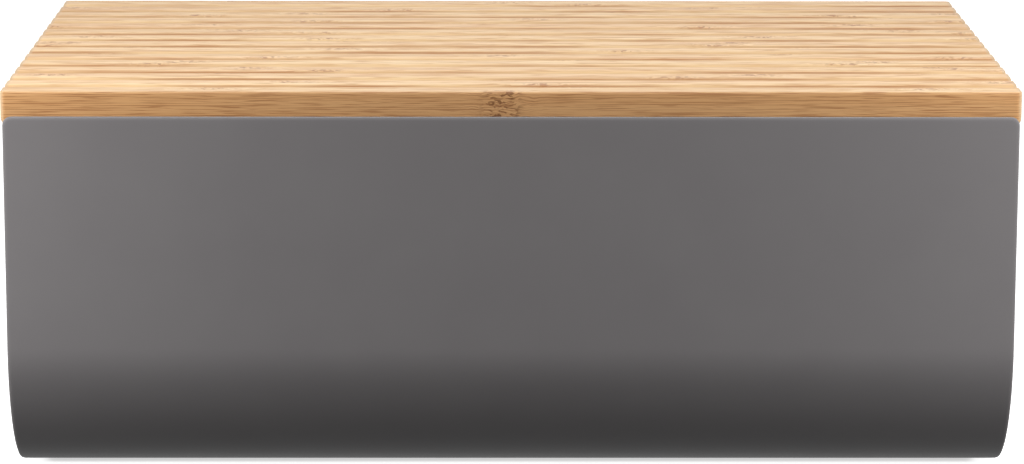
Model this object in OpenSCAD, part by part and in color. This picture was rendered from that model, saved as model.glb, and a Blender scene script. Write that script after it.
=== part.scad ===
// Bread box: a coated steel trough, bent from one sheet and closed by two pressed end panels,
// under a loose lid of edge-glued bamboo staves with a ribbed top.
// X runs left to right, -Y is the front, Z is up from the table. The origin is on the table,
// under the middle of the box. All sizes are in millimetres.

/* [Lid] */
// Width of the lid, left to right, which is the widest part of the box
lid_w = 340; // [290:1:400]
// Number of staves in the lid, each with one rib
stave_count = 15; // [11:1:16]
// Width of one stave, which is the distance from one groove of the ribbed top to the next
stave_w = 14.7; // [13:0.1:17]
// How much is planed off the first and the last stave, at the lid's front and back faces
face_trim = 1.2; // [0:0.1:3]
// Thickness of the lid where its ends lie on the rims
lid_end_t = 11; // [9:0.5:16]
// How much deeper the lid reaches between the rims, which keeps it from sliding sideways
lid_step = 4; // [2:0.5:8]
// Depth of the V-shaped grooves below the flat crests of the ribs
groove_depth = 1.2; // [0.6:0.1:2]
// Width of a groove, half of it in each of the two staves that meet there
groove_w = 6.2; // [4:0.1:8]
// Radius of the lid's four upright corners
lid_corner_r = 2; // [1:0.5:4]
// Radius of the top edges along the lid's front and back
lid_face_edge_r = 0.9; // [0.3:0.1:1.5]
// Radius of the top edges at the lid's ends
lid_end_edge_r = 0.3; // [0.2:0.1:1]
// Radius of the lid's bottom edges
lid_bottom_edge_r = 1.5; // [0.5:0.1:2]

/* [Body] */
// Height of the whole box, from the table to the crests of the lid
box_h = 137; // [120:1:170]
// Thickness of the coated sheet of the skin
skin_t = 1; // [0.8:0.1:1.5]
// Outer radius of the two long bends under the front and the back
bend_r = 49; // [30:1:60]
// How far the lid reaches past the skin at each end
lid_overhang = 0.8; // [0:0.1:2]
// How far the front and back lips stand up past the lid's underside
lip_overlap = 2.8; // [2:0.1:5]
// Radius of the lips' free corners
lip_corner_r = 3; // [1:0.5:5]
// Gap between the lid and the lips, front and back
lid_gap = 0.3; // [0.2:0.1:1]

/* [End panels] */
// Thickness of the coated sheet of the end panels
end_t = 1; // [0.8:0.1:1.5]
// How far the end panels are set in from the skin's side edges
end_inset = 2; // [1:0.5:8]
// Width of the flanges that are welded to the skin
flange_w = 9; // [6:0.5:15]
// Width of the folded rim that carries the lid
rim_w = 9; // [7:0.5:14]
// How far the rim's inner edge is folded down
rim_drop = 5; // [4:0.5:8]
// Outer radius of the folds in the end panels
fold_r = 2.5; // [1.8:0.1:3]
// Gap left by the coating between the flanges and the skin
seam_gap = 0.1; // [0.05:0.05:0.2]
// Side play of the lid's step between the two rims, at each side
step_gap = 0.6; // [0.3:0.1:1.5]

/* [Feet] */
// Radius of a foot pad
foot_r = 6; // [4:0.5:9]
// Height of a foot pad
foot_h = 1; // [0.8:0.1:3]
// Bevel round the pad's lower edge
foot_bevel = 0.4; // [0.2:0.1:0.8]
// Distance from the skin's side edge to the rim of the nearest pads
foot_end_margin = 22; // [15:1:60]
// Distance from where the bends start to the rim of the nearest pads
foot_bend_margin = 6; // [2:1:15]

/* [Hidden] */
$fn = 96;
steel_grey = [0.42, 0.41, 0.41];
panel_grey = [0.38, 0.37, 0.37];
bamboo = [0.90, 0.76, 0.58];
bamboo_dark = [0.86, 0.71, 0.52];
pad_black = [0.12, 0.12, 0.12];
past = 1; // how far a cutting shape runs past what it cuts

// Heights above the table
rim_z = box_h - lid_end_t; // top of the rims, where the lid lies
lip_z = rim_z + lip_overlap; // top edge of the front and back lips
step_z = rim_z - lid_step; // underside of the lid between the rims
bend_z = foot_h + bend_r; // centre line of the long bends

// Outside of the lid and the trough
lid_d = stave_count * stave_w - 2 * face_trim; // front to back
box_d = lid_d + 2 * (lid_gap + skin_t);
skin_w = lid_w - 2 * lid_overhang;
bend_y = box_d / 2 - bend_r; // centre line of the long bends

// End panels and the lid's step between them
end_x = skin_w / 2 - end_inset; // outer face of an end panel
panel_margin = skin_t + seam_gap; // from the outside of the skin to a flange
panel_d = box_d - 2 * panel_margin;
panel_bend_r = bend_r - panel_margin;
step_w = 2 * (end_x - rim_w - step_gap);
panel_leg = 3; // part of a fold's section that lies in the panel's flat

// Feet
foot_x = skin_w / 2 - foot_end_margin - foot_r;
foot_y = bend_y - foot_bend_margin - foot_r;

function two_digits(n) = n < 10 ? str("0", n) : str(n);
function stave_name(i) = str("lid_stave_", two_digits(i));
function stave_front(i) = (i - 1 - stave_count / 2) * stave_w;

// Extrudes an outline drawn in Y and Z along X, about the middle of the box
module along_x(length) {
    rotate([90, 0, 90]) linear_extrude(height = length, center = true) children();
}

// Extrudes an outline drawn in X and Z along Y, about the middle of the box
module along_y(length) {
    rotate([90, 0, 0]) linear_extrude(height = length, center = true) children();
}

// Rectangle with its own radius for the two bottom corners and for the two top corners
module rounded_rect(width, bottom, top, bottom_r, top_r) {
    for (side = [-1, 1]) {
        translate([side * (width / 2 - bottom_r), bottom + bottom_r]) circle(r = bottom_r);
        translate([side * (width / 2 - top_r), top - top_r]) circle(r = top_r);
    }
    translate([-width / 2, bottom + bottom_r]) square([width, top - top_r - bottom - bottom_r]);
    translate([-width / 2 + bottom_r, bottom]) square([width - 2 * bottom_r, bottom_r + top_r]);
    translate([-width / 2 + top_r, top - 2 * top_r]) square([width - 2 * top_r, 2 * top_r]);
}

// The trough's outline seen from its end, shrunk by a margin all round and cut off at a height
module trough_outline(margin, top) {
    for (side = [-1, 1]) {
        translate([side * bend_y, bend_z]) circle(r = bend_r - margin);
    }
    translate([-bend_y, foot_h + margin]) square([2 * bend_y, bend_r]);
    translate([-box_d / 2 + margin, bend_z]) square([box_d - 2 * margin, top - bend_z]);
}

// Front lip, front wall, bend, floor, bend, back wall and back lip, in one sheet
module body_skin() {
    color(steel_grey) intersection() {
        along_x(skin_w) difference() {
            trough_outline(0, lip_z);
            trough_outline(skin_t, lip_z + past);
        }
        along_y(box_d + 2 * past) rounded_rect(skin_w, -past, lip_z, past, lip_corner_r);
    }
}

// Section through a fold: a quarter ring between two legs whose outer faces lie on the two axes
module fold_corner() {
    intersection() {
        square(fold_r);
        translate([fold_r, fold_r]) difference() {
            circle(r = fold_r);
            circle(r = fold_r - end_t);
        }
    }
}

// Section of a flange, with a leg that lies in the panel's flat. X is the depth in from the
// skin, Y the distance in from the panel's face.
module flange_section() {
    fold_corner();
    translate([fold_r, 0]) square([panel_leg, end_t]);
    translate([0, fold_r]) square([end_t, flange_w - fold_r]);
}

// Section of the rim: a leg in the panel's flat, the flat that carries the lid, and the edge
// that is folded down from it. X is the depth below the rim's top, Y the distance in from the
// panel's face.
module rim_section() {
    fold_corner();
    translate([fold_r, 0]) square([panel_leg, end_t]);
    translate([0, fold_r]) square([end_t, rim_w - 2 * fold_r]);
    translate([0, rim_w]) mirror([0, 1]) fold_corner();
    translate([fold_r, rim_w - end_t]) square([rim_drop - fold_r, end_t]);
}

// An end panel lying on its outer face, with its height along Y and its flanges up Z
module flat_end_panel() {
    flat_d = panel_d - 2 * fold_r;
    wall_h = rim_z - fold_r - bend_z;
    // The flat of the panel, inside the folds
    linear_extrude(height = end_t) {
        for (side = [-1, 1]) {
            translate([side * bend_y, bend_z]) circle(r = panel_bend_r - fold_r);
        }
        translate([-bend_y, foot_h + panel_margin + fold_r]) square([2 * bend_y, panel_bend_r]);
        translate([-flat_d / 2, bend_z]) square([flat_d, wall_h]);
    }
    // The flanges up the front and back walls, which run on up into the rim, and round the bends
    for (side = [0, 1]) mirror([side, 0, 0]) {
        translate([-panel_d / 2, rim_z - fold_r, 0]) rotate([90, 0, 0]) {
            linear_extrude(height = wall_h) flange_section();
        }
        translate([-panel_d / 2, bend_z, fold_r]) {
            cube([end_t, rim_z - end_t / 2 - bend_z, flange_w - fold_r]);
        }
        translate([-bend_y, bend_z, 0]) rotate([0, 0, 180]) rotate_extrude(angle = 90) {
            translate([panel_bend_r, 0]) mirror([1, 0]) flange_section();
        }
    }
    // The flange along the floor
    translate([-bend_y, foot_h + panel_margin, 0]) rotate([90, 0, 90]) {
        linear_extrude(height = 2 * bend_y) flange_section();
    }
    // The rim across the top
    translate([panel_d / 2, rim_z, 0]) rotate([90, 0, -90]) {
        linear_extrude(height = panel_d) rim_section();
    }
}

module end_panel_left() {
    color(panel_grey) translate([-end_x, 0, 0]) rotate([90, 0, 90]) flat_end_panel();
}

module end_panel_right() {
    mirror([1, 0, 0]) end_panel_left();
}

// A pad under the floor, at the side given as -1 or 1 along X and along Y
module foot(side_x, side_y) {
    color(pad_black) translate([side_x * foot_x, side_y * foot_y, 0]) {
        cylinder(h = foot_bevel, r1 = foot_r - foot_bevel, r2 = foot_r);
        translate([0, 0, foot_bevel]) cylinder(h = foot_h - foot_bevel, r = foot_r);
    }
}

// The lid as one board with a flat top: its ends are thinner, to lie on the rims, and its edges
// and corners are rounded
module lid_blank() {
    intersection() {
        union() {
            along_y(lid_d) rounded_rect(lid_w, rim_z, box_h, lid_bottom_edge_r, lid_end_edge_r);
            along_y(lid_d) translate([-step_w / 2, step_z]) square([step_w, box_h - step_z]);
        }
        along_x(lid_w) {
            rounded_rect(lid_d, step_z, box_h, lid_bottom_edge_r, lid_face_edge_r);
        }
        linear_extrude(height = box_h + past) rotate([0, 0, 90]) {
            rounded_rect(lid_d, -lid_w / 2, lid_w / 2, lid_corner_r, lid_corner_r);
        }
    }
}

// A stave's outline in Y and Z, with a bevel on each side where it meets another stave. The
// sides that become the lid's front and back faces have none.
module stave_outline(i) {
    front_bevel = i > 1 ? 1 : 0;
    back_bevel = i < stave_count ? 1 : 0;
    polygon([
        [0, 0],
        [0, box_h - front_bevel * groove_depth],
        [groove_w / 2, box_h],
        [stave_w - groove_w / 2, box_h],
        [stave_w, box_h - back_bevel * groove_depth],
        [stave_w, 0]
    ]);
}

// One bamboo stave, with its rib. Stave 1 is the front edge of the lid.
module lid_stave(i) {
    color(i % 2 == 0 ? bamboo : bamboo_dark) intersection() {
        lid_blank();
        along_x(lid_w) translate([stave_front(i), 0]) stave_outline(i);
    }
}

body_skin();
end_panel_left();
end_panel_right();
foot(-1, -1);  // foot_front_left
foot(1, -1);  // foot_front_right
foot(-1, 1);  // foot_back_left
foot(1, 1);  // foot_back_right
for (i = [1:stave_count]) {
    lid_stave(i);
}
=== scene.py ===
"""The looks of the bread box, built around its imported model.

The box is a trough bent from one coated sheet, closed by two end panels, on four pads. Its lid is
a board of bamboo staves with a ribbed top, which lies loose on the end panels' rims. X runs left
to right, -Y is the front and Z is up; everything is in metres.
"""

import math

import bmesh
import bpy
from mathutils import Matrix, Vector


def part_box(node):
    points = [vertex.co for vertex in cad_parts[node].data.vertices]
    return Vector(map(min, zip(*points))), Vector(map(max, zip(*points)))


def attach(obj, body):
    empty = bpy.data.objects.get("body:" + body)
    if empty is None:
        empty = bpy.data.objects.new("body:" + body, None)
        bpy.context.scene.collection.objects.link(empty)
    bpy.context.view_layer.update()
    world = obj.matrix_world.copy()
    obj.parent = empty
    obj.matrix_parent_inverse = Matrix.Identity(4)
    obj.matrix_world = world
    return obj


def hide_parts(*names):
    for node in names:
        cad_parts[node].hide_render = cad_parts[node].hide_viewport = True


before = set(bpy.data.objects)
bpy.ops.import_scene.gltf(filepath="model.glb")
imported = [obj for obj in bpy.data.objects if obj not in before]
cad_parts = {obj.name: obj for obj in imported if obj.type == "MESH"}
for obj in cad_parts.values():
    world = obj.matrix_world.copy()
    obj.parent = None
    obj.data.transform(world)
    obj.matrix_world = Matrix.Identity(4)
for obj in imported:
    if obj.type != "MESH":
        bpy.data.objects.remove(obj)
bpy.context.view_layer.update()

MM = 0.001
SMOOTH_BELOW = math.radians(35)  # edges sharper than this stay sharp

# The trough, whose outside is the box of body_skin
SKIN_T = 1.0 * MM
BEND_R = 49.0 * MM
LIP_CORNER_R = 3.0 * MM
SKIN_EDGE_W = 1.2 * MM  # width over which the sheet's edges are rounded
SKIN_BESIDE_W = 0.6 * MM  # flat width beside that rounding
SKIN_LO, SKIN_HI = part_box("body_skin")
BEND_Y = SKIN_HI.y - BEND_R  # centre line of the back bend; the front one is at -BEND_Y
BEND_Z = SKIN_LO.z + BEND_R
SHEET_R = BEND_R - SKIN_T / 2  # radius of the bends at the middle of the sheet
WALL_L = SKIN_HI.z - BEND_Z
BEND_L = SHEET_R * math.pi / 2
SHEET_L = 2 * (WALL_L + BEND_L + BEND_Y)  # the sheet's flat length, from lip to lip

# The lid, whose outside is the box of all the staves
STAVES = sorted(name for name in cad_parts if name.startswith("lid_stave_"))
LID_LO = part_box(STAVES[0])[0]
LID_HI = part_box(STAVES[-1])[1]
STAVE_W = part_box(STAVES[1])[1].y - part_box(STAVES[1])[0].y
FIRST_STAVE_Y = -len(STAVES) / 2 * STAVE_W  # where stave 1 would start if its face weren't planed
GROOVE_DEPTH = 1.2 * MM
GROOVE_HALF_W = 3.1 * MM
SHOULDER_R = 8.0 * MM  # rounding between a rib's flat crest and the sides of the grooves
STEP_DEPTH = 4.0 * MM  # how much deeper the lid reaches between the rims
STEP_FROM_END = 12.4 * MM
LID_CORNER_R = 2.0 * MM
LID_BOTTOM_R = 1.5 * MM
LID_END_R = 0.3 * MM  # rounding of the top edges at the lid's ends
LID_FACE_R = 0.9 * MM  # rounding of the front and back top edges
STRIPS_PER_STAVE = 3
STRIP_W = STAVE_W / STRIPS_PER_STAVE
KNUCKLE_SPACING = 240 * MM
FRONT_KNUCKLE_X = -3.2 * MM  # the front edge has one of its knuckles near the middle

PAD_EDGE_R = 0.5 * MM

END_PANELS = ("end_panel_left", "end_panel_right")
FEET = ("foot_front_left", "foot_front_right", "foot_back_left", "foot_back_right")


# ---------------------------------------------------------------- meshes

def new_object(name, vertices, faces, material):
    """A smoothly shaded object at the origin."""
    mesh = bpy.data.meshes.new(name)
    mesh.from_pydata([tuple(v) for v in vertices], [], faces)
    edit = bmesh.new()
    edit.from_mesh(mesh)
    bmesh.ops.remove_doubles(edit, verts=edit.verts, dist=1e-7)
    bmesh.ops.recalc_face_normals(edit, faces=edit.faces)
    edit.to_mesh(mesh)
    edit.free()
    mesh.polygons.foreach_set("use_smooth", [True] * len(mesh.polygons))
    mesh.set_sharp_from_angle(angle=SMOOTH_BELOW)
    mesh.materials.append(material)
    made = bpy.data.objects.new(name, mesh)
    bpy.context.scene.collection.objects.link(made)
    return made


def stand_for(piece, node, body):
    """Puts a piece in the place of a CAD node, on the same body."""
    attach(piece, body)
    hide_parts(node)


def band_faces(loops, count):
    """Quads between each closed loop of count points and the next one."""
    faces = []
    for loop in range(loops - 1):
        for i in range(count):
            here = loop * count + i
            after = loop * count + (i + 1) % count
            faces.append([here, after, after + count, here + count])
    return faces


def rounded_edge(distance, radius):
    """How far a rounded edge falls back, at a distance from where the unrounded edge was."""
    inside = min(max(distance, 0.0), radius)
    return radius - math.sqrt(radius ** 2 - (radius - inside) ** 2)


# ---------------------------------------------------------------- the sheet of the trough

def sheet_point(u):
    """Middle of the sheet and its outward normal in Y and Z, u metres down from the front lip."""
    if u > SHEET_L / 2:  # the back half mirrors the front half
        (y, z), (ny, nz) = sheet_point(SHEET_L - u)
        return (-y, z), (-ny, nz)
    if u < WALL_L:
        return (-BEND_Y - SHEET_R, SKIN_HI.z - u), (-1.0, 0.0)
    if u < WALL_L + BEND_L:
        turn = (u - WALL_L) / SHEET_R
        ny, nz = -math.cos(turn), -math.sin(turn)
        return (-BEND_Y + SHEET_R * ny, BEND_Z + SHEET_R * nz), (ny, nz)
    return (-BEND_Y + u - WALL_L - BEND_L, BEND_Z - SHEET_R), (0.0, -1.0)


def sheet_stations():
    """Where along its length the sheet is divided, between the rounded corners of the lips."""
    wall_steps = 8
    bend_steps = 36
    wall_start = LIP_CORNER_R
    front = [wall_start + (WALL_L - wall_start) * i / wall_steps for i in range(wall_steps)]
    front += [WALL_L + BEND_L * i / bend_steps for i in range(bend_steps + 1)]
    back = [SHEET_L - u for u in reversed(front)]
    return front + [SHEET_L / 2] + back


def side_chain(inset, stations):
    """Points (u, x) down the sheet's left edge, moved in from it, with the corners' arcs."""
    corner_steps = 6
    arc_r = LIP_CORNER_R - inset
    corner_x = SKIN_LO.x + LIP_CORNER_R
    top = []
    for i in range(corner_steps):
        turn = math.pi / 2 * i / corner_steps
        top.append((LIP_CORNER_R - arc_r * math.cos(turn), corner_x - arc_r * math.sin(turn)))
    bottom = [(SHEET_L - u, x) for u, x in reversed(top)]
    return top + [(u, SKIN_LO.x + inset) for u in stations] + bottom


def edge_rings():
    """Inset from the sheet's edge and height over its middle, from one face round to the other."""
    steps = 10
    beside = SKIN_EDGE_W + SKIN_BESIDE_W
    rings = [(beside, SKIN_T / 2)]
    for i in range(steps + 1):
        turn = math.pi * i / steps
        rings.append((SKIN_EDGE_W * (1 - math.sin(turn)), SKIN_T / 2 * math.cos(turn)))
    return rings + [(beside, -SKIN_T / 2)]


def make_skin(material):
    """One bent sheet: rings round its edge make the rounding, and strips across it the faces."""
    stations = sheet_stations()
    rings = edge_rings()
    vertices = []
    for inset, height in rings:
        left = side_chain(inset, stations)
        right = [(u, -x) for u, x in reversed(left)]
        for u, x in left + right:
            (y, z), (ny, nz) = sheet_point(u)
            vertices.append((x, y + ny * height, z + nz * height))
    count = len(vertices) // len(rings)
    faces = band_faces(len(rings), count)
    for first in (0, (len(rings) - 1) * count):
        last = first + count - 1
        for i in range(count // 2 - 1):
            faces.append([first + i, first + i + 1, last - 1 - i, last - i])
    skin = new_object("skin", vertices, faces, material)
    stand_for(skin, "body_skin", "box")


def coat_end_panels(material):
    """The end panels keep their CAD shape, and only get the coat."""
    for node in END_PANELS:
        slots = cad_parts[node].data.materials
        slots.clear()
        slots.append(material)


# ---------------------------------------------------------------- the lid's staves

def groove_fall(distance):
    """How far the top lies below the crest, at a distance from where two staves meet."""
    slope = math.atan2(GROOVE_DEPTH, GROOVE_HALF_W)
    reach = SHOULDER_R * math.tan(slope / 2)
    if distance < GROOVE_HALF_W - reach * math.cos(slope):
        return GROOVE_DEPTH * (1 - distance / GROOVE_HALF_W)
    short = max(GROOVE_HALF_W + reach - distance, 0.0)
    return SHOULDER_R - math.sqrt(SHOULDER_R ** 2 - short ** 2)


def stave_top(front, back, crest, first, last):
    """Outline of a stave's top in Y and Z, with its points closer together near both sides."""
    steps = 56
    top = []
    for i in range(steps + 1):
        turn = math.pi * i / steps
        along = (i / steps + (1 - math.cos(turn)) / 2) / 2
        y = front + (back - front) * along
        fall = rounded_edge(y - front, LID_FACE_R) if first else groove_fall(y - front)
        fall += rounded_edge(back - y, LID_FACE_R) if last else groove_fall(back - y)
        top.append((y, crest - fall))
    return top


def stave_profile(index, end_distance, bottom):
    """Outline of a stave in Y and Z, where the lid's end is end_distance away."""
    first = index == 0
    last = index == len(STAVES) - 1
    corner = rounded_edge(end_distance, LID_CORNER_R)
    lo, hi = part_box(STAVES[index])
    front = max(lo.y, LID_LO.y + corner)
    back = min(hi.y, LID_HI.y - corner)
    crest = LID_HI.z - rounded_edge(end_distance, LID_END_R)
    bottom += rounded_edge(end_distance, LID_BOTTOM_R)
    side_steps = 6
    front_side, back_side = [], []
    for i in range(side_steps + 1):
        rise = LID_BOTTOM_R * (1 - math.cos(math.pi / 2 * i / side_steps))
        inset = rounded_edge(rise, LID_BOTTOM_R)
        front_side.append((front + (inset if first else 0), bottom + rise))
        back_side.append((back - (inset if last else 0), bottom + rise))
    return front_side + stave_top(front, back, crest, first, last) + back_side[::-1]


def stave_places():
    """Where along X a stave's outline is drawn, and the height of its bottom there."""
    half = LID_HI.x
    rim_z = LID_LO.z + STEP_DEPTH
    step_x = -half + STEP_FROM_END
    from_end_mm = [0, 0.01, 0.04, 0.09, 0.15, 0.22, 0.3, 0.45, 0.65, 0.9, 1.2, 1.6, 2.0, 3.0, 7.0]
    left = [(-half + distance * MM, rim_z) for distance in from_end_mm]
    left += [(step_x, rim_z), (step_x, LID_LO.z), (step_x + 2 * MM, LID_LO.z)]
    return left + [(0, LID_LO.z)] + [(-x, z) for x, z in reversed(left)]


def make_stave(index, material):
    """A stave is its outline at many places along X, joined up and closed at both ends."""
    places = stave_places()
    vertices = []
    for x, bottom in places:
        outline = stave_profile(index, LID_HI.x - abs(x), bottom)
        vertices += [(x, y, z) for y, z in outline]
    count = len(vertices) // len(places)
    ends = [list(range(count)), list(range(len(vertices) - count, len(vertices)))]
    faces = ends + band_faces(len(places), count)
    stave = new_object(STAVES[index].replace("lid_stave", "stave"), vertices, faces, material)
    stand_for(stave, STAVES[index], "lid")


# ---------------------------------------------------------------- pads

def pad_outline(radius, bottom, top):
    """Radius and height of a pad's section, from the middle of its underside round to its top."""
    steps = 6
    outline = [(0.0, bottom)]
    for i in range(steps + 1):
        turn = math.pi / 2 * i / steps
        outline.append((radius - PAD_EDGE_R * (1 - math.sin(turn)),
                        bottom + PAD_EDGE_R * (1 - math.cos(turn))))
    return outline + [(radius, top), (0.0, top)]


def make_foot(node, material):
    """A pad turned round its own axis, with a rounded lower edge."""
    lo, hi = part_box(node)
    middle = (lo + hi) / 2
    outline = pad_outline((hi.x - lo.x) / 2, lo.z, hi.z)
    count = len(outline)
    around = 48
    vertices = []
    for i in range(around):
        turn = 2 * math.pi * i / around
        vertices += [(middle.x + r * math.cos(turn), middle.y + r * math.sin(turn), z)
                     for r, z in outline]
    faces = []
    for i in range(around):
        here = i * count
        after = (i + 1) % around * count
        faces.append([here, after + 1, here + 1])
        for j in range(1, count - 2):
            faces.append([here + j, after + j, after + j + 1, here + j + 1])
        faces.append([here + count - 2, after + count - 2, here + count - 1])
    foot = new_object(node.replace("foot", "pad"), vertices, faces, material)
    stand_for(foot, node, "box")


# ---------------------------------------------------------------- materials

class Nodes:
    """Adds nodes to a material. An input is a number, a tuple or another node's output."""

    def __init__(self, name):
        self.material = bpy.data.materials.new(name)
        self.material.use_nodes = True
        self.tree = self.material.node_tree
        self.shader = self.tree.nodes["Principled BSDF"]
        self.output = self.tree.nodes["Material Output"]

    def feed(self, socket, value):
        if isinstance(value, bpy.types.NodeSocket):
            self.tree.links.new(value, socket)
        else:
            socket.default_value = value

    def add(self, kind, inputs, **settings):
        node = self.tree.nodes.new(kind)
        for key, value in settings.items():
            setattr(node, key, value)
        for key, value in inputs.items():
            self.feed(node.inputs[key], value)
        return node

    def math(self, operation, *values):
        node = self.add("ShaderNodeMath", dict(enumerate(values)), operation=operation)
        return node.outputs[0]

    def plus(self, a, b):
        return self.math("ADD", a, b)

    def minus(self, a, b):
        return self.math("SUBTRACT", a, b)

    def times(self, a, b):
        return self.math("MULTIPLY", a, b)

    def size_of(self, value):
        return self.math("ABSOLUTE", value)

    def span(self, value, low, high, at_low=0.0, at_high=1.0):
        """Goes smoothly from at_low to at_high while value goes from low to high."""
        inputs = {"Value": value, "From Min": low, "From Max": high,
                  "To Min": at_low, "To Max": at_high}
        node = self.add("ShaderNodeMapRange", inputs, interpolation_type="SMOOTHSTEP")
        return node.outputs[0]

    def mix(self, factor, a, b):
        """Goes from colour a to colour b while factor goes from 0 to 1."""
        node = self.add("ShaderNodeMix", {}, data_type="RGBA")
        self.feed(node.inputs[0], factor)
        self.feed(node.inputs[6], a)
        self.feed(node.inputs[7], b)
        return node.outputs[2]

    def mix_shaders(self, factor, a, b):
        return self.add("ShaderNodeMixShader", {0: factor, 1: a, 2: b}).outputs[0]

    def diffuse(self, grey):
        return self.add("ShaderNodeBsdfDiffuse", {"Color": (grey, grey, grey, 1)}).outputs[0]

    def glow(self, strength):
        inputs = {"Color": (1, 1, 1, 1), "Strength": strength}
        return self.add("ShaderNodeEmission", inputs).outputs[0]

    def noise(self, vector, scale=1.0, detail=2.0, distortion=0.0):
        inputs = {"Vector": vector, "Scale": scale, "Detail": detail,
                  "Roughness": 0.5, "Distortion": distortion}
        return self.add("ShaderNodeTexNoise", inputs).outputs[0]

    def vector(self, x, y, z):
        return self.add("ShaderNodeCombineXYZ", {0: x, 1: y, 2: z}).outputs[0]

    def place(self):
        """The point's X, Y and Z in metres."""
        source = self.add("ShaderNodeTexCoord", {}).outputs["Object"]
        return self.add("ShaderNodeSeparateXYZ", {0: source}).outputs

    def bump(self, height, strength, distance):
        inputs = {"Height": height, "Strength": strength, "Distance": distance}
        return self.add("ShaderNodeBump", inputs).outputs[0]

    def finish(self, colour, roughness, normal, specular=0.5):
        """Feeds the material's shader."""
        self.feed(self.shader.inputs["Base Color"], colour)
        self.feed(self.shader.inputs["Roughness"], roughness)
        self.feed(self.shader.inputs["Normal"], normal)
        self.shader.inputs["Specular IOR Level"].default_value = specular
        return self.material


def coat_material():
    """Satin powder coat: an even grey with a fine orange-peel surface."""
    n = Nodes("coated_steel")
    x, y, z = n.place()
    at = n.vector(x, y, z)
    patches = n.noise(at, scale=40, detail=3)
    peel = n.noise(at, scale=1500)
    colour = n.mix(patches, (0.198, 0.186, 0.190, 1), (0.218, 0.207, 0.209, 1))
    roughness = n.span(peel, 0.3, 0.7, 0.30, 0.38)
    return n.finish(colour, roughness, n.bump(peel, 0.12, 0.05 * MM), specular=0.4)


def pad_material():
    """Matt black rubber with a fine grain."""
    n = Nodes("foot_pad")
    x, y, z = n.place()
    grain = n.noise(n.vector(x, y, z), scale=2500)
    colour = n.mix(grain, (0.012, 0.012, 0.012, 1), (0.03, 0.03, 0.03, 1))
    return n.finish(colour, 0.8, n.bump(grain, 0.3, 0.05 * MM))


def knuckle_distance(n, x, strip, phase):
    """Distance along X from the nearest knuckle of a strip."""
    front_phase = 0.5 - FRONT_KNUCKLE_X / KNUCKLE_SPACING
    on_first_strip = n.math("LESS_THAN", strip, 0.5)
    phase = n.add("ShaderNodeMix", {0: on_first_strip, 2: phase, 3: front_phase}).outputs[0]
    turn = n.math("FRACT", n.plus(n.math("DIVIDE", x, KNUCKLE_SPACING), phase))
    return n.size_of(n.times(n.minus(turn, 0.5), KNUCKLE_SPACING))


def wandering(n, x, y, z, near_knuckle):
    """Y and Z for the fibres, which leave their straight lines where a knuckle is near."""
    most = 3 * MM
    wander = n.noise(n.vector(n.times(x, 170), n.times(y, 400), n.times(z, 300)))
    shift = n.times(n.minus(wander, 0.5), n.times(near_knuckle, most))
    return n.plus(y, shift), n.plus(z, shift)


def strip_colour(n, tone, hue, broad, on_front):
    """The strips' own tones, and a browner one on the lid's front face, partly painted shade."""
    light = n.mix(hue, (0.870, 0.625, 0.335, 1), (0.870, 0.595, 0.312, 1))
    dark = n.mix(hue, (0.720, 0.455, 0.205, 1), (0.730, 0.435, 0.205, 1))
    shade = n.plus(n.times(tone, 0.4), n.span(broad, 0.35, 0.65, 0.0, 0.5))
    # the front face is darker than the top: partly its own tone, partly painted shade
    return n.mix(n.times(on_front, 0.7), n.mix(shade, light, dark), (0.565, 0.280, 0.114, 1))


def add_streaks(n, colour, fine, coarse, on_front):
    """Dark fibres, thin and thick, in a darker tone on the lid's front face, partly painted shade.
    """
    thin = n.span(fine, 0.5, 0.68, 0.0, 0.75)
    thick = n.span(coarse, 0.5, 0.68, 0.0, 0.7)
    # the front face's darker streak colour is partly painted shade
    streak_colour = n.mix(on_front, (0.54, 0.270, 0.105, 1), (0.31, 0.130, 0.048, 1))
    return n.mix(n.math("MAXIMUM", thin, thick), colour, streak_colour)


def knuckle_marks(n, x, fibre_y, fibre_z, from_knuckle):
    """Where the short, curled marks of the knuckles are."""
    place = n.vector(n.times(x, 330), n.times(fibre_y, 330), n.times(fibre_z, 1000))
    curls = n.noise(place, detail=3, distortion=1.0)
    return n.times(n.span(curls, 0.49, 0.60), n.span(from_knuckle, 9 * MM, 3 * MM))


def add_knuckle_marks(n, colour, marks, on_front):
    """The marks are dark, and darkest on the lid's front face, partly as painted shade."""
    on_top_colour = (0.36, 0.140, 0.038, 1)
    on_front_colour = (0.16, 0.058, 0.020, 1)
    # the darker colour of the marks on the front face is partly painted shade
    return n.mix(n.times(marks, 0.8), colour, n.mix(on_front, on_top_colour, on_front_colour))


def add_groove_shade(n, colour, x, y, z):
    """The grooves are painted darker, as painted shade, more in some places than in others."""
    from_first = n.math("DIVIDE", n.minus(y, FIRST_STAVE_Y), STAVE_W)
    groove = n.math("ROUND", from_first)
    from_joint = n.times(n.size_of(n.minus(from_first, groove)), STAVE_W)
    near_crest = n.math("GREATER_THAN", z, LID_HI.z - 1.5 * MM)
    off_faces = n.math("LESS_THAN", n.size_of(y), LID_HI.y - 5 * MM)
    in_groove = n.times(n.span(from_joint, 3.0 * MM, 1.8 * MM), n.times(near_crest, off_faces))
    patchiness = n.noise(n.vector(n.times(x, 12), n.times(groove, 9.1), 0.0), detail=3)
    # painted shade in the grooves, stronger or weaker along them by the noise
    groove_shade_colour = n.mix(n.span(patchiness, 0.36, 0.62), (0.800, 0.540, 0.275, 1), (0.390, 0.160, 0.043, 1))
    return n.mix(n.times(in_groove, 0.8), colour, groove_shade_colour)


def add_pale_ends_and_sheen(n, colour, x):
    """The sawn ends and the edge beside them are paler, partly their own tone, partly painted
    sheen.
    """
    from_end = n.minus(LID_HI.x, n.size_of(x))
    pale = n.span(from_end, 1.6 * MM, 0.4 * MM, 0.0, 0.75)
    # besides the paler end grain, this is a painted sheen on the front face's ends and a painted
    # greyish shade on the top's ends
    return n.mix(pale, colour, (0.560, 0.400, 0.250, 1))


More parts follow.
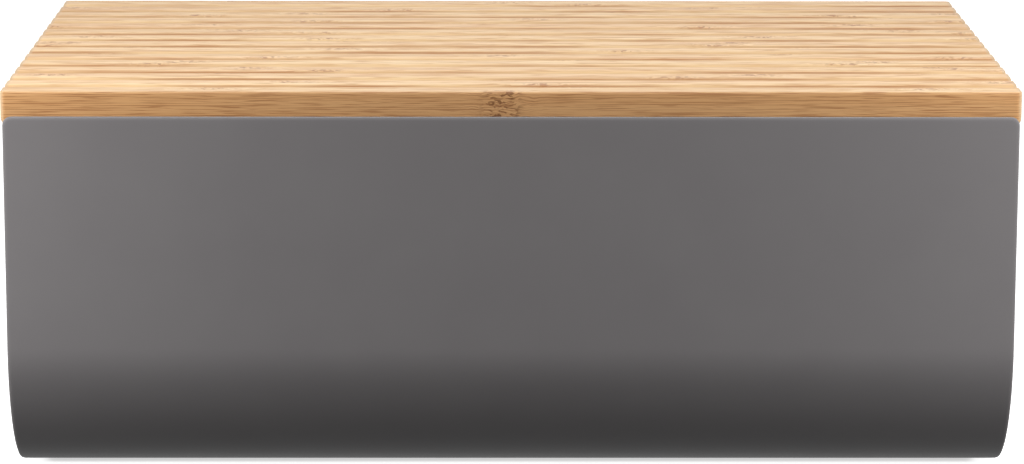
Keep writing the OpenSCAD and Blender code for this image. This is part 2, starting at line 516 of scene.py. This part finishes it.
def bamboo_material():
    """Edge-glued bamboo strips that run along X. Each strip has its own tone and knuckles."""
    n = Nodes("bamboo")
    x, y, z = n.place()
    strip = n.math("FLOOR", n.math("DIVIDE", n.minus(y, FIRST_STAVE_Y), STRIP_W))
    chance = n.add("ShaderNodeTexWhiteNoise", {"W": n.plus(strip, 0.5)}, noise_dimensions="1D")
    tone, hue, phase = n.add("ShaderNodeSeparateColor", {0: chance.outputs["Color"]}).outputs
    on_front = n.span(y, LID_LO.y + 0.7 * MM, LID_LO.y + 0.2 * MM)
    from_knuckle = knuckle_distance(n, x, strip, phase)
    near_knuckle = n.span(from_knuckle, 22 * MM, 2 * MM)
    fibre_y, fibre_z = wandering(n, x, y, z, near_knuckle)
    slide = n.times(strip, 7.3)  # gives each strip a part of the noise to itself

    def streaks(over, in_depth, in_height):
        """Noise stretched along X, with a scale each for the board's width, depth and height."""
        along = n.math("MULTIPLY_ADD", x, over, slide)
        return n.noise(n.vector(along, n.times(fibre_y, in_depth), n.times(fibre_z, in_height)))

    fine = streaks(over=80, in_depth=750, in_height=3200)
    coarse = streaks(over=24, in_depth=430, in_height=2400)
    broad = streaks(over=5, in_depth=200, in_height=300)
    marks = knuckle_marks(n, x, fibre_y, fibre_z, from_knuckle)
    colour = strip_colour(n, tone, hue, broad, on_front)
    colour = add_streaks(n, colour, fine, coarse, on_front)
    colour = add_knuckle_marks(n, colour, marks, on_front)
    colour = add_groove_shade(n, colour, x, y, z)
    colour = add_pale_ends_and_sheen(n, colour, x)

    roughness = n.span(fine, 0.3, 0.7, 0.42, 0.56)
    relief = n.plus(n.times(fine, -0.6), n.times(marks, -0.6))
    return n.finish(colour, roughness, n.bump(relief, 0.25, 0.12 * MM), specular=0.32)


def floor_material():
    """Pale floor that keeps the box's shadow, and is white wherever no shadow falls.

    To the camera it also glows, and less so in a strip under the box: a painted contact shadow,
    set by position and not cast by the lamps. Reflections show it as an even grey.
    """
    n = Nodes("floor")
    paths = n.add("ShaderNodeLightPath", {}).outputs
    x, y, _ = n.place()
    painted_shadow_in_depth = n.span(n.size_of(y), 71 * MM, 66 * MM)
    painted_shadow_in_width = n.span(n.size_of(x), 165 * MM, 158 * MM)
    # the glow falls from 0.95 to 0.6 in a strip under the box: a painted contact shadow
    strength = n.span(n.times(painted_shadow_in_depth, painted_shadow_in_width), 0.0, 1.0, 0.95, 0.6)
    pale = n.add("ShaderNodeAddShader", {0: n.diffuse(0.9), 1: n.glow(strength)}).outputs[0]
    mirrored = n.math("MAXIMUM", paths["Is Glossy Ray"], paths["Is Transmission Ray"])
    unseen = n.mix_shaders(mirrored, n.diffuse(0.05), n.glow(0.42))
    n.tree.nodes.remove(n.shader)
    n.feed(n.output.inputs["Surface"], n.mix_shaders(paths["Is Camera Ray"], unseen, pale))
    return n.material


# ---------------------------------------------------------------- stage, light and camera

def make_floor():
    """A square of floor, far larger than any view of the box shows."""
    reach = 6.0
    corners = [(-reach, -reach, 0), (reach, -reach, 0), (reach, reach, 0), (-reach, reach, 0)]
    new_object("floor", corners, [[0, 1, 2, 3]], floor_material())


def make_world():
    """White to the camera, in reflections and through glass; a weak even light for the rest."""
    white = 1.0
    weak = 0.04
    world = bpy.data.worlds.new("studio")
    bpy.context.scene.world = world
    world.use_nodes = True
    tree = world.node_tree
    paths = tree.nodes.new("ShaderNodeLightPath").outputs
    shown = paths["Is Camera Ray"]
    for ray in ("Is Glossy Ray", "Is Transmission Ray"):
        either = tree.nodes.new("ShaderNodeMath")
        either.operation = "MAXIMUM"
        tree.links.new(shown, either.inputs[0])
        tree.links.new(paths[ray], either.inputs[1])
        shown = either.outputs[0]
    level = tree.nodes.new("ShaderNodeMapRange")
    level.inputs["To Min"].default_value = weak
    level.inputs["To Max"].default_value = white
    tree.links.new(shown, level.inputs["Value"])
    background = tree.nodes["Background"]
    background.inputs["Color"].default_value = (1, 1, 1, 1)
    tree.links.new(level.outputs[0], background.inputs["Strength"])


def make_softbox(name, place, aim, size, watts, mirrored):
    """A rectangular area lamp. Reflections show it only where mirrored is true."""
    lamp = bpy.data.lights.new(name, "AREA")
    lamp.shape = "RECTANGLE"
    lamp.size, lamp.size_y = size
    lamp.energy = watts
    box = bpy.data.objects.new(name, lamp)
    box.location = place
    box.rotation_euler = (Vector(aim) - Vector(place)).to_track_quat("-Z", "Y").to_euler()
    box.visible_camera = False
    box.visible_glossy = mirrored
    bpy.context.scene.collection.objects.link(box)


def make_lights():
    """Two long lamps above, before and behind the box, and a weak one at each front corner."""
    lid_front = (0, -0.11, 0.1)
    long_size = (1.0, 0.22)
    small_size = (0.12, 0.24)
    make_softbox("top_softbox", (0, -0.376, 1.167), lid_front, long_size, 9.3, True)
    make_softbox("back_softbox", (0, 1.016, 0.75), lid_front, long_size, 3.0, True)
    for name, side, watts in (("left_softbox", -1, 1.22), ("right_softbox", 1, 1.08)):
        place = (side * 0.40, -0.25, 0.18)
        aim = (side * 0.12, -0.1, 0.09)
        make_softbox(name, place, aim, small_size, watts, False)


def make_camera():
    """At the photograph's viewing angle, 1.43 m in front of the box and slightly to the left."""
    focal_px, width_px = 4023.0, 1024
    down = math.radians(11.2832)
    turned = math.radians(0.402)
    rolled = math.radians(0.1035)
    place = (-9.01 * MM, -1428.25 * MM, 352.81 * MM)
    data = bpy.data.cameras.new("camera")
    data.sensor_width = 36.0
    data.lens = focal_px / width_px * data.sensor_width
    data.clip_end = 20.0
    camera = bpy.data.objects.new("camera", data)
    aim = Matrix.Rotation(-turned, 4, "Z") @ Matrix.Rotation(math.pi / 2 - down, 4, "X")
    aim = aim @ Matrix.Rotation(rolled, 4, "Z")
    camera.matrix_world = Matrix.Translation(place) @ aim
    bpy.context.scene.collection.objects.link(camera)
    bpy.context.scene.camera = camera


coat = coat_material()
bamboo = bamboo_material()
pad = pad_material()

make_skin(coat)
coat_end_panels(coat)
for number in range(len(STAVES)):
    make_stave(number, bamboo)
for foot_node in FEET:
    make_foot(foot_node, pad)

make_floor()
make_world()
make_lights()
make_camera()

bpy.context.scene.view_settings.view_transform = "Standard"
